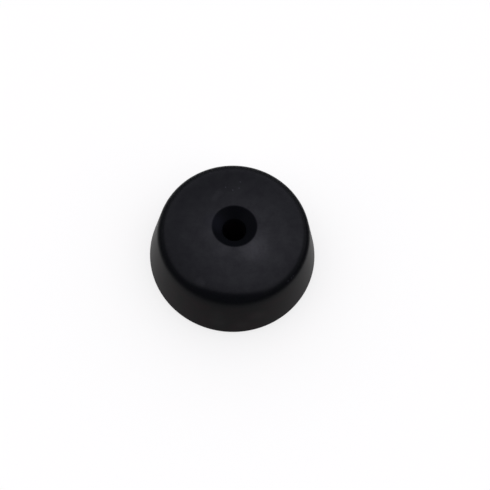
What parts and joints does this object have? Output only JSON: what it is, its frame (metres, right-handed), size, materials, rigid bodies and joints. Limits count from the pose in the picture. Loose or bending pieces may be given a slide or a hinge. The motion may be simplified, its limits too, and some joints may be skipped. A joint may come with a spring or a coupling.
{
  "type": "vibration mount",
  "caption": "Round tapered rubber mount with a flat base, a large rounded upper edge and a countersunk screw hole through its middle.",
  "frame": {"origin": "centre of the base, on the seat", "axes": "+Z along the screw hole, from the wide base up to the narrow face"},
  "size_m": [0.04, 0.04, 0.0145],
  "materials": {
    "black_rubber": "matt moulded black rubber with a faint sheen and a little dust"
  },
  "bodies": {
    "root": {"rubber_mount": "black_rubber"}
  },
  "joints": []
}
